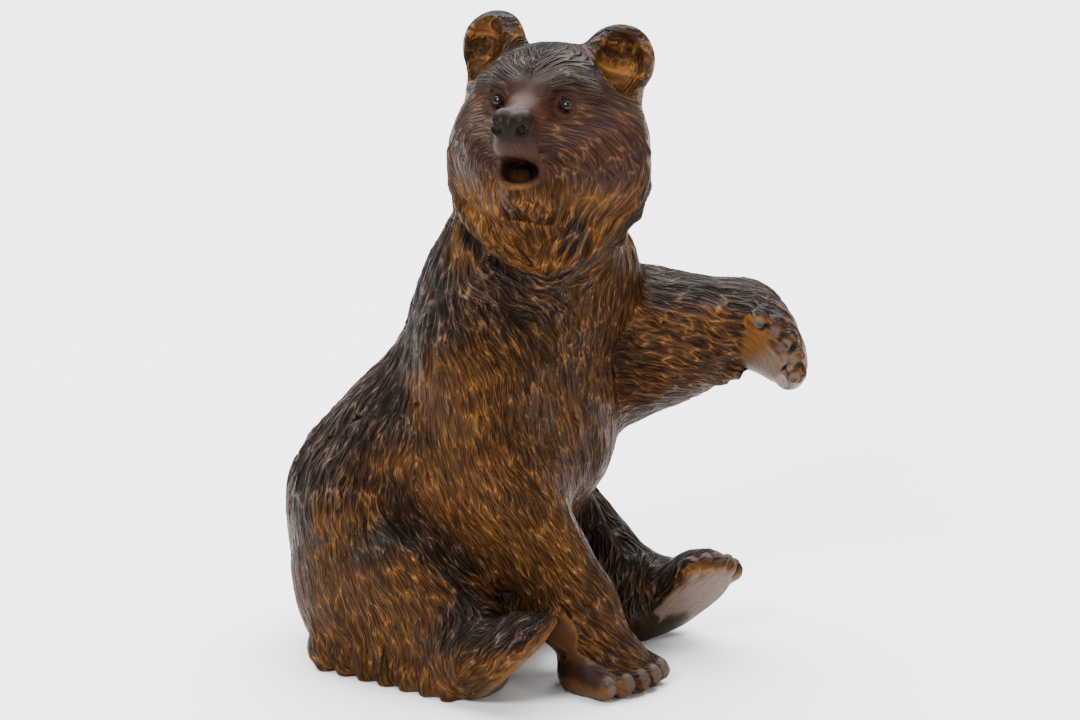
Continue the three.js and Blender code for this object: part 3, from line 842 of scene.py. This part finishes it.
def scoops(uv, width, length, seed, dig=DIG):
    """How deep long scoops go at each point, from 0 to about 1, with one scoop to each cell."""
    cell = uv / (width, length)
    home = np.floor(cell[:, 0])
    deepest = np.zeros(len(uv))
    for beside in (-1, 0, 1):
        column = home + beside
        place = cell[:, 1] + chance(column, 0, seed)
        for below in (-1, 0, 1):
            step = np.floor(place) + below
            size = 0.8 + 0.4 * chance(column, step, seed + 1)
            along = (place - step - 0.25 - 0.5 * chance(column, step, seed + 2)) / (0.85 * size)
            middle = 0.5 + 0.45 * (chance(column, step, seed + 3) - 0.5)
            slant = 0.35 * (chance(column, step, seed + 4) - 0.5) * along
            across = (cell[:, 0] - column - middle - slant) / (0.75 * size)
            deepest = np.maximum(deepest, size * (1 - across**2 - along**2) * (1 + dig * along))
    return deepest


def cuts_over(points, out, region, uv, furred):
    """How deep the cuts are at each point, how deep at most, and where they are coarse."""
    x, y, z = points.T
    a, _, c = head.local(points)
    on_head = region == REGION["head"]
    on_arm = region == REGION["left_foreleg"]
    low = np.isin(region, [REGION["right_foot"], REGION["left_foot"]]) | (z < 14)
    body = ~(on_head | on_arm | low)
    upper = smooth_step(-0.15, 0.45, out @ unit([0, 0.5, 0.85])) * smooth_step(38, 56, z)
    rump = smooth_step(4, 22, y) * smooth_step(36, 52, z)
    ruff = on_head * np.maximum(smooth_step(-8, -20, c), smooth_step(2, -12, a))
    chest = body * smooth_step(-22, -36, y) * smooth_step(56, 75, z) * smooth_step(-30, -14, x)
    arm_top = on_arm * smooth_step(-0.1, 0.4, out[:, 2])
    coarse = np.maximum.reduce([body * np.maximum(upper, rump), ruff, 0.8 * arm_top, 0.6 * chest])
    shoulder = body * smooth_step(96, 110, z) * smooth_step(150, 138, z) * smooth_step(4, -10, x)
    shoulder *= smooth_step(-48, -40, y)
    face = on_head * (1 - ruff)
    layers = [
        (scoops(uv, 3.4, 15, 1), coarse * (1 - 0.8 * shoulder) * 1.15),
        (scoops(uv, 2.8, 7.5, 2), shoulder * 0.75),
        (scoops(uv, 2.8, 11, 3), (1 - 0.7 * coarse) * (1 - shoulder) * (1 - face) * 0.45),
        (scoops(uv, 2.8, 6.5, 4), face * 0.28),
    ]
    cut = sum(depth * pattern for pattern, depth in layers) * furred
    most = sum(depth for _, depth in layers) * furred
    return cut, most, coarse


def tree_of(points):
    tree = kdtree.KDTree(len(points))
    for i, p in enumerate(points.tolist()):
        tree.insert(p, i)
    tree.balance()
    return tree


# Colours of the wood, as light values. The dark stain's colour also serves for painted shade, the
# pads' holds a painted reflection and the claws' a painted sheen.

# The dark stain's colour; times 0.7 or 0.6 it is also painted shade under the ruff's border, in its
# pockets and inside the mouth.
DARK_STAIN_AND_SHADE = np.array([0.0130, 0.0074, 0.0047])
GOLDEN = np.array([0.083, 0.0350, 0.0082])
MIDDLE_BROWN = np.array([0.040, 0.0190, 0.0083])
FACE_BROWN = np.array([0.034, 0.0146, 0.0084])
NOSE = np.array([0.010, 0.006, 0.0045])
# Bare wood of the pads with a painted grey reflection of the floor in it.
PAD_WOOD_AND_REFLECTION = np.array([0.115, 0.078, 0.056])
TOE_TAN = np.array([0.13, 0.052, 0.013])
# The claws' stain with a painted grey sheen.
CLAW_STAIN_AND_SHEEN = np.array([0.060, 0.046, 0.038])


def cloud(points, size, count=24):
    """Slow variation over the wood, from waves in random directions."""
    total = np.zeros(len(points))
    for _ in range(count):
        direction = unit(rng.normal(size=3)) * 2 * math.pi / (size * rng.uniform(0.7, 1.6))
        total += np.sin(points @ direction + rng.uniform(0, 2 * math.pi))
    return total / math.sqrt(count / 2)


def stain_and_painted_light_of(points, out, region):
    """The colour of the stain at each point, with painted shade under the ruff's border, in two
    pockets of the ruff and inside the mouth, a painted grey reflection on the left sole and the
    palm and a painted sheen on the claws, before the cuts lighten or darken it.
    """
    x, y, z = points.T
    a, b, c = head.local(points)
    patches = cloud(points, 26)
    facing = out @ unit([0.05, 0.45, 0.89]) + 0.07 * patches + 0.03 * cloud(points, 7)
    dark = smooth_step(-0.22, 0.50, facing)
    shoulder = smooth_step(92, 118, z) * smooth_step(0, -12, x)
    dark = np.maximum(dark, 0.85 * shoulder)
    front = smooth_step(-30, -40, y) * smooth_step(45, 65, z)
    dark = np.maximum(dark, 0.55 * front)
    dark = np.maximum(dark, 0.9 * np.exp(-np.maximum(creases(points), 0) / 5))
    dark = np.maximum(dark, 0.85 * smooth_step(6, 20, x) * smooth_step(85, 70, z))
    colour = GOLDEN * (1 - dark[:, None]) + DARK_STAIN_AND_SHADE * dark[:, None]
    arm = region == REGION["left_foreleg"]
    colour = blend_in(colour, MIDDLE_BROWN, 0.5 * arm * smooth_step(0.4, -0.2, out[:, 2]))
    leg = (region == REGION["right_foreleg"]) * smooth_step(52, 22, z)
    colour = blend_in(colour, DARK_STAIN_AND_SHADE * 1.6, 0.45 * leg)
    face = smooth_step(-4, 12, a) * smooth_step(-26, -12, c) * (region == REGION["head"])
    colour = blend_in(colour, FACE_BROWN, 0.9 * face)
    ruff_band = smooth_step(-10, -18, c) * smooth_step(-42, -36, c) * smooth_step(-8, 2, a)
    ruff_band *= smooth_step(30, 24, np.abs(b))
    colour = blend_in(colour, GOLDEN * 1.1, 0.75 * ruff_band)
    forehead = face * smooth_step(8, 18, c)
    colour = blend_in(colour, DARK_STAIN_AND_SHADE * 0.9, 0.85 * forehead)
    pad = (
        smooth_step(33.5, 35.5, a) * smooth_step(8, 6, np.abs(b)) * smooth_step(-3, -1, c)
        * smooth_step(11, 9, c)
    )
    colour = blend_in(colour, NOSE, 0.9 * pad)
    for _, cup, _ in ears:
        in_cup = smooth_step(1.5, -0.5, np.abs(cup(points)) - 0.6)
        colour = blend_in(colour, GOLDEN * 0.8, in_cup * 0.8)
    # The left sole is bare wood with a painted grey reflection; the right sole is golden.
    soles = (("right_foot", right_foot, GOLDEN), ("left_foot", left_foot, PAD_WOOD_AND_REFLECTION))
    for name, foot, sole_shade in soles:
        fa, fb, fc = foot.local(points)
        nearby = (np.abs(fb) < 17) & (fa > 0) & (fa < 44) & (region == REGION[name])
        on_toes = 0.8 * smooth_step(5, 2, fc) * nearby * smooth_step(22, 32, fa)
        colour = blend_in(colour, TOE_TAN * 0.7, on_toes)
        colour = blend_in(colour, sole_shade, smooth_step(1.6, 0.6, fc) * nearby)
    tips = smooth_step(11, 14, (points - paw.origin) @ paw.a) * smooth_step(8, 4, z) * (z < 12)
    colour = blend_in(colour, TOE_TAN * 0.6, 0.6 * tips)
    # The palm: orange-tan wood above, and bare wood with a painted grey reflection below.
    _, hb, _ = hand.local(points)
    palm_wood_and_reflection = (
        TOE_TAN * 0.8 * smooth_step(-4, 1, hb)[:, None] + PAD_WOOD_AND_REFLECTION * smooth_step(1, -4, hb)[:, None]
    )
    colour = blend_in(colour, palm_wood_and_reflection, on_palm(points, out, region))
    # Claws: stain with a painted grey sheen.
    colour = blend_in(colour, CLAW_STAIN_AND_SHEEN, 0.85 * smooth_step(0.9, 0.3, all_claws(points)))
    # Painted shade in the cut under the ruff's border, in the dark stain's colour.
    for hollow in undercuts:
        colour = blend_in(colour, DARK_STAIN_AND_SHADE * 0.7, 0.8 * smooth_step(1.6, 0.2, hollow(points)))
    # Painted shadow in two pockets of the ruff, which the carving doesn't cut.
    for hollow in shadow_pockets:
        colour = blend_in(colour, DARK_STAIN_AND_SHADE * 0.7, 0.8 * smooth_step(3, 0, hollow(points)))
    # Painted shade inside the mouth's opening.
    inside_mouth = smooth_step(0.8, -0.2, mouth(points))
    colour = blend_in(colour, DARK_STAIN_AND_SHADE * 0.6, 0.8 * inside_mouth)
    return colour * (1 + 0.10 * patches[:, None]).clip(0.7, 1.3)


# The carved bear

COARSE_VOXEL = 1.0 * MM
FINE_VOXEL = 0.62 * MM
TRIANGLES = 196000
SAME_PLACE = 0.001 * MM
RIDGE_ROUNDS = 14


def remade(obj, voxel):
    applied(obj, "REMESH", mode="VOXEL", voxel_size=voxel)


def carve_bear():
    mesh = frame["nodes"]["bear"].data.copy()
    mesh.materials.clear()
    bear = bpy.data.objects.new("carved_bear", mesh)
    bpy.context.scene.collection.objects.link(bear)
    only(bear)
    bpy.ops.object.mode_set(mode="EDIT")
    bpy.ops.mesh.select_all(action="SELECT")
    bpy.ops.mesh.remove_doubles(threshold=SAME_PLACE)
    bpy.ops.object.mode_set(mode="OBJECT")
    remade(bear, COARSE_VOXEL)
    points, _ = drawn_to(figure, corners_of(bear.data) / MM, 3)
    set_corners(bear.data, points * MM)
    remade(bear, FINE_VOXEL)
    points, out = drawn_to(dressed_figure(), corners_of(bear.data) / MM, 2)

    region = region_of(points)
    lay = lay_of(points, out, region)
    bare = bare_places(points, out, region)
    edges = edges_of(bear.data)
    chart = chart_of(points, region)
    uv = combed_twice(points, out, lay, chart, edges)
    cut, most, coarse = cuts_over(points, out, region, uv, 1 - bare)
    ridge = smoothed(cut, edges, RIDGE_ROUNDS) - cut
    stain_and_painted_light = stain_and_painted_light_of(points, out, region)
    points = points + out * (0.5 * most - cut)[:, None]
    points[:, 2] = np.maximum(points[:, 2], 0)
    set_corners(bear.data, points * MM)

    faces = sum(len(p.vertices) - 2 for p in bear.data.polygons)
    applied(bear, "DECIMATE", ratio=TRIANGLES / faces)
    applied(bear, "TRIANGULATE")

    tree = tree_of(points)
    corners = corners_of(bear.data) / MM
    nearest = np.array([tree.find(p)[1] for p in corners.tolist()])
    for name, values in (("ridge", ridge), ("bare", bare), ("coarse", coarse)):
        give(bear.data, name, values[nearest])
    give_colour(bear.data, "stain_and_painted_light", stain_and_painted_light[nearest])
    across = np.cross(out, lay)[nearest]
    lay = lay[nearest]
    uv = uv[nearest] + over_fur(corners - points[nearest], across, lay)
    unwrap(bear.data, corners, uv, across, lay, chart[nearest])
    bear.data.shade_smooth()
    return bear


def give(mesh, name, values):
    mesh.attributes.new(name, "FLOAT", "POINT").data.foreach_set("value", values.astype(np.float32))


def give_colour(mesh, name, values):
    rgba = np.concatenate([values, np.ones((len(values), 1))], 1).astype(np.float32)
    mesh.attributes.new(name, "FLOAT_COLOR", "POINT").data.foreach_set("color", rgba.ravel())


def unwrap(mesh, corners, uv, across, lay, chart):
    """The fur's coordinates as a UV map. A face between two charts follows its first corner's."""
    loops = np.empty(len(mesh.loops), np.int32)
    mesh.loops.foreach_get("vertex_index", loops)
    first = loops.reshape(-1, 3)[:, 0].repeat(3)
    away = corners[loops] - corners[first]
    carried = uv[first] + over_fur(away, across[first], lay[first])
    same = (chart[loops] == chart[first])[:, None]
    values = np.where(same, uv[loops], carried)
    mesh.uv_layers.new(name="lay").data.foreach_set("uv", values.astype(np.float32).ravel())


# Materials

class Socket:
    """A node's output, with Python's operators for its maths."""

    def __init__(self, nodes, socket):
        self.nodes = nodes
        self.socket = socket

    def _math(self, operation, *values):
        return self.nodes.add("ShaderNodeMath", {"operation": operation}, *values)

    def __add__(self, other):
        return self._math("ADD", self, other)

    def __sub__(self, other):
        return self._math("SUBTRACT", self, other)

    def __rsub__(self, other):
        return self._math("SUBTRACT", other, self)

    def __mul__(self, other):
        return self._math("MULTIPLY", self, other)

    __radd__ = __add__
    __rmul__ = __mul__

    def between(self, low, high):
        """0 at low, 1 at high, straight in between and held outside."""
        return self.nodes.add("ShaderNodeMapRange", {}, self, low, high, 0, 1)


class Nodes:
    """The nodes of one material."""

    def __init__(self, name):
        self.material = bpy.data.materials.new(name)
        self.material.use_nodes = True
        self.tree = self.material.node_tree
        self.shader = self.tree.nodes["Principled BSDF"]

    def add(self, kind, settings, *values, output=0, **named):
        node = self.tree.nodes.new(kind)
        for name, value in settings.items():
            setattr(node, name, value)
        self.fill(node, values, named)
        return Socket(self, node.outputs[output])

    def fill(self, node, values, named):
        """Sets or links a node's sockets, in their order or by their names."""
        for place, value in enumerate(values):
            self.give(node.inputs[place], value)
        for label, value in named.items():
            self.give(node.inputs[label.replace("_", " ")], value)

    def give(self, socket, value):
        if isinstance(value, Socket):
            self.tree.links.new(value.socket, socket)
        elif value is not None:
            socket.default_value = value

    def mixed(self, share, first, second, how="MIX"):
        """Two colours mixed. Their sockets come after five that only numbers and vectors use."""
        settings = {"data_type": "RGBA", "blend_type": how}
        skipped = [None] * 5
        return self.add("ShaderNodeMix", settings, share, *skipped, first, second, output=2)

    def noise(self, place, detail, scale=1.0, dimensions="3D"):
        settings = {"noise_dimensions": dimensions}
        return self.add("ShaderNodeTexNoise", settings, Vector=place, Scale=scale, Detail=detail)

    def place_on_object(self):
        return self.add("ShaderNodeTexCoord", {}, output="Object")

    def attribute(self, name, output="Fac"):
        return self.add("ShaderNodeAttribute", {"attribute_name": name}, output=output)

    def finish(self, **values):
        self.fill(self.shader, (), values)
        return self.material


# The strokes that the gouge left, in millimetres across and along the fur
FINE_STROKE = (0.95, 8.0)
BROAD_STROKE = (2.3, 12.0)

# What the stain is multiplied by in a cut and on an edge where it wears off, the painted grey glint
# on edges of the dark stain, and the bare wood of edges where the golden stain wears off
IN_CUT = (0.15, 0.13, 0.16, 1)
ON_EDGE = (2.8, 2.4, 2.0, 1)
PAINTED_GLINT_ON_DARK = (0.125, 0.090, 0.066, 1)
WORN_GOLDEN = (0.190, 0.080, 0.020, 1)


def stained_wood():
    n = Nodes("stained_wood")
    stain_and_painted_light = n.attribute("stain_and_painted_light", "Color")
    ridge, bare, coarse = n.attribute("ridge"), n.attribute("bare"), n.attribute("coarse")
    fur = 1 - bare
    lay = n.add("ShaderNodeUVMap", {"uv_map": "lay"})

    def stretched(place, width, length):
        """A place on the fur, counted in steps of so many millimetres across and along it."""
        return n.add("ShaderNodeMapping", {}, place, Scale=(1 / width, 1 / length, 1))

    sway = n.noise(stretched(lay, 7, 12), 1.0, dimensions="2D")
    swayed = n.add("ShaderNodeCombineXYZ", {}, (sway - 0.5) * 3.0, 0.0, 0.0)
    curved = n.add("ShaderNodeVectorMath", {"operation": "ADD"}, lay, swayed)

    def strokes(size, output="Distance", feature="DISTANCE_TO_EDGE"):
        settings = {"voronoi_dimensions": "2D", "feature": feature}
        place = stretched(curved, *size)
        return n.add("ShaderNodeTexVoronoi", settings, Vector=place, Scale=1.0, output=output)

    fine, broad = strokes(FINE_STROKE), strokes(BROAD_STROKE)
    shades = n.add("ShaderNodeSeparateColor", {}, strokes(FINE_STROKE, "Color", "F1"))
    lock_shades = n.add("ShaderNodeSeparateColor", {}, strokes(BROAD_STROKE, "Color", "F1"))
    streams = n.noise(stretched(curved, 1.3, 15), 2.0, dimensions="2D")
    parted = n.add("ShaderNodeMath", {"operation": "ABSOLUTE"}, streams - 0.5)
    cut_line = 1 - parted.between(0.012, 0.055)
    lines = n.noise(stretched(lay, 0.5, 9), 3.0, dimensions="2D")
    place = n.place_on_object()
    blotch = n.noise(place, 4.0, scale=110.0)
    speck = n.noise(place, 3.0, scale=1100.0)

    rim = 1 - fine.between(0.02, 0.12)
    broad_rim = 1 - broad.between(0.015, 0.09)
    trough, broad_trough = fine.between(0.10, 0.40), broad.between(0.10, 0.42)
    rims = rim * (1 - 0.6 * coarse) + broad_rim * (0.25 + 0.75 * coarse)
    troughs = trough * (0.9 - 0.5 * coarse) + broad_trough * (0.2 + 0.7 * coarse)
    deep = (0 - ridge).between(0.04, 0.40)
    crest = ridge.between(0.02, 0.26)

    red = n.add("ShaderNodeSeparateColor", {}, stain_and_painted_light)
    golden = red.between(0.013, 0.045)
    # Edges lighten to bare wood where the golden stain wears off, and to a painted grey glint where
    # the stain is dark.
    wear_and_glint_shade = n.mixed(golden, PAINTED_GLINT_ON_DARK, WORN_GOLDEN)
    darker = n.mixed(1.0, stain_and_painted_light, IN_CUT, "MULTIPLY")
    lighter = n.mixed(0.6, n.mixed(1.0, stain_and_painted_light, ON_EDGE, "MULTIPLY"), wear_and_glint_shade)
    tone = lines.between(0.3, 0.7) * 0.45 + (shades * 0.45 + lock_shades * 0.25) * fur + bare * 0.33
    # How much each edge lightens: wear, and on the dark stain also a painted glint.
    rim_wear_and_glint = rims * fur * blotch.between(0.30, 0.55) * tone
    crest_wear_and_glint = crest * blotch.between(0.35, 0.65) * 0.5
    wear_and_glint = (rim_wear_and_glint + crest_wear_and_glint).between(0, 0.75)
    shade = n.mixed((0.62 - tone).between(0.0, 0.6) * 0.9, stain_and_painted_light, darker)
    shade = n.mixed(troughs * fur * 0.8, shade, darker)
    shade = n.mixed(wear_and_glint, shade, lighter)
    shade = n.mixed(cut_line * (fur * 0.65 + 0.1), shade, darker)
    shade = n.mixed(deep * 0.7, shade, darker)

    gloss = 0.34 + deep * 0.14 + speck.between(0.3, 0.7) * 0.12 - wear_and_glint * 0.06
    hair = rims.between(0.0, 1.2) - troughs * 0.8 - cut_line * 0.6
    height = hair * fur * 0.7 + lines * (0.25 * fur + 0.05) + speck * 0.05
    bump = n.add("ShaderNodeBump", {}, Strength=1.0, Distance=0.95 * MM, Height=height)
    return n.finish(Base_Color=shade, Roughness=gloss, Normal=bump, Specular_IOR_Level=0.058)


def black_glass():
    n = Nodes("eye_glass")
    dust = n.noise(n.place_on_object(), 4.0, scale=700.0)
    shade = n.mixed(dust.between(0.35, 0.75), (0.004, 0.004, 0.004, 1), (0.016, 0.013, 0.011, 1))
    gloss = 0.05 + dust.between(0.5, 0.8) * 0.08
    return n.finish(Base_Color=shade, Roughness=gloss, Specular_IOR_Level=0.22)


DOME_HEIGHT = 0.05  # as a share of the ball's radius


def glass_eye(name, middle, material):
    """A black glass eye: a ball with a shallow dome at its front."""
    bpy.ops.object.select_all(action="DESELECT")
    bpy.ops.mesh.primitive_uv_sphere_add(segments=48, ring_count=32, radius=EYE_RADIUS)
    eye = bpy.context.active_object
    eye.name = name
    corners = corners_of(eye.data)
    front = units(corners) @ head.a
    corners *= (1 + DOME_HEIGHT * smooth_step(0.72, 0.95, front))[:, None]
    set_corners(eye.data, (corners + middle) * MM)
    eye.data.shade_smooth()
    eye.data.materials.append(material)
    return eye


wood = stained_wood()
glass = black_glass()

bear = carve_bear()
bear.data.materials.append(wood)
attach(bear, "root")
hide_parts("bear")

for eye_node, eye_middle in eye_middles.items():
    eye = glass_eye("glass_" + eye_node, eye_middle, glass)
    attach(eye, "root")
    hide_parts(eye_node)


# The floor, the light and the camera

def pale_floor():
    n = Nodes("pale_floor")
    grain = n.noise(n.place_on_object(), 2.0, scale=3.0)
    shade = n.mixed(grain, (0.87, 0.865, 0.87, 1), (0.90, 0.895, 0.90, 1))
    return n.finish(Base_Color=shade, Roughness=0.6)


FLOOR_SIZE = 12
bpy.ops.object.select_all(action="DESELECT")
bpy.ops.mesh.primitive_plane_add(size=FLOOR_SIZE)
floor = bpy.context.active_object
floor.name = "floor"
floor.data.materials.append(pale_floor())


def soft_light(name, place, towards, size, watts):
    """A square lamp that faces a point."""
    light = bpy.data.lights.new(name, "AREA")
    light.size = size
    light.energy = watts
    lamp = bpy.data.objects.new(name, light)
    bpy.context.scene.collection.objects.link(lamp)
    lamp.location = place
    lamp.rotation_euler = (Vector(place) - Vector(towards)).to_track_quat("Z", "Y").to_euler()


BEAR_MIDDLE = (0.0, -0.0235, 0.0954)
soft_light("overhead", (0.65, 0.5, 2.0), BEAR_MIDDLE, 3.0, 300)
soft_light("front_left", (-1.5, -0.3, 1.2), BEAR_MIDDLE, 0.4, 46)
soft_light("front_right", (0.2, -1.7, 0.7), BEAR_MIDDLE, 0.6, 9)

world = bpy.data.worlds.new("studio")
world.use_nodes = True
world.node_tree.nodes["Background"].inputs["Color"].default_value = (1, 1, 1, 1)
world.node_tree.nodes["Background"].inputs["Strength"].default_value = 0.5
bpy.context.scene.world = world

# The photograph's view: turned to the bear's right, a little from above, through a long lens.
VIEW_RISE = math.radians(14.5)
VIEW_DISTANCE = 1.3
FOCAL_PIXELS = 4290
PICTURE_WIDTH = 1080
SENSOR = 36

camera_data = bpy.data.cameras.new("camera")
camera_data.sensor_width = SENSOR
camera_data.lens = SENSOR * FOCAL_PIXELS / PICTURE_WIDTH
camera_data.clip_start = 0.05
camera = bpy.data.objects.new("camera", camera_data)
bpy.context.scene.collection.objects.link(camera)
back = Vector((
    math.sin(VIEW_TURN) * math.cos(VIEW_RISE),
    -math.cos(VIEW_TURN) * math.cos(VIEW_RISE),
    math.sin(VIEW_RISE),
))
camera.location = Vector(BEAR_MIDDLE) + back * VIEW_DISTANCE
camera.rotation_euler = back.to_track_quat("Z", "Y").to_euler()
bpy.context.scene.camera = camera
